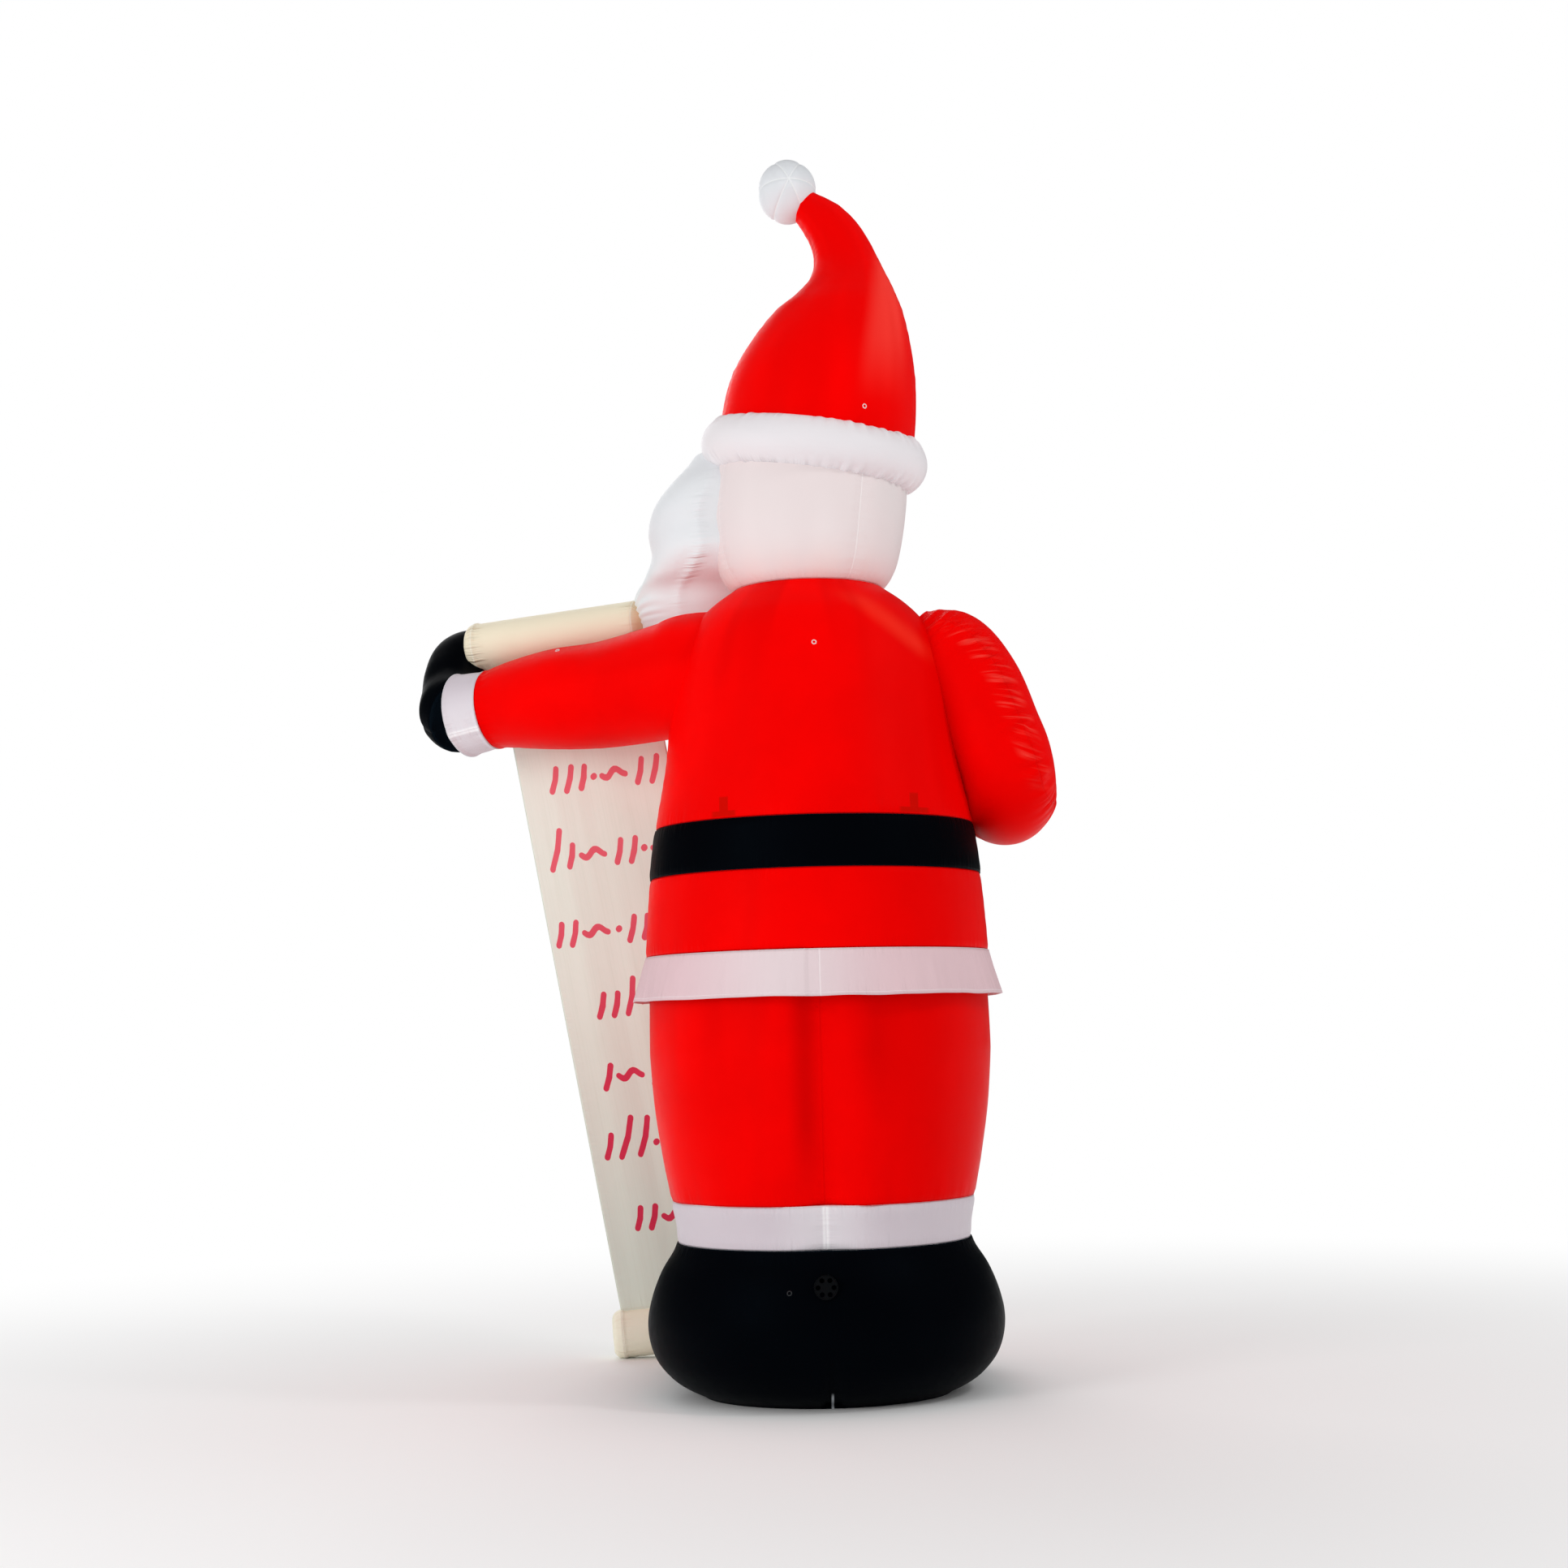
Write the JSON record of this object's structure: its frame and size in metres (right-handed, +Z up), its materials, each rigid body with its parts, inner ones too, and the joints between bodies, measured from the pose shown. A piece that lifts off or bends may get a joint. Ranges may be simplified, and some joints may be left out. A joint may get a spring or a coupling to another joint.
{
  "type": "inflatable santa",
  "caption": "Giant air-filled fabric santa in a red suit and fur-trimmed hat, with a long list on a scroll hanging from a raised mitten.",
  "frame": {"origin": "on the flat underside of the boots, in the middle of the body", "axes": "+Z up, -Y the way the body faces, +X towards its left hand"},
  "size_m": [3.2128, 2.3824, 6.1],
  "materials": {
    "red_fabric": "coated nylon with a satin sheen",
    "white_fabric": "coated nylon, slightly translucent",
    "black_fabric": "coated nylon with a satin sheen",
    "cream_fabric": "coated nylon, matt",
    "list_fabric": "thin woven nylon, matt, lets light through",
    "skin_fabric": "coated nylon, matt",
    "nose_fabric": "coated nylon, matt",
    "black_plastic": "moulded plastic"
  },
  "bodies": {
    "root": {"boots": "black_fabric", "blower_housing": "black_plastic", "blower_grille": "black_plastic", "trouser_cuffs": "white_fabric", "trousers": "red_fabric", "coat_hem": "white_fabric", "coat_skirt": "red_fabric", "belt": "black_fabric", "coat": "red_fabric", "left_sleeve": "red_fabric", "left_cuff": "white_fabric", "left_mitten": "black_fabric", "right_sleeve": "red_fabric", "right_cuff": "white_fabric", "right_mitten": "black_fabric", "head": "white_fabric", "face": "skin_fabric", "nose": "nose_fabric", "moustache": "white_fabric", "beard": "white_fabric", "hat_brim": "white_fabric", "hat": "red_fabric", "pompom": "white_fabric", "scroll_top_roll": "cream_fabric", "scroll_sheet": "list_fabric", "scroll_bottom_roll": "cream_fabric", "tether_ring_hat": "white_fabric", "tether_ring_back": "white_fabric", "tether_ring_sleeve": "white_fabric", "tether_ring_boots": "white_fabric"}
  },
  "joints": []
}
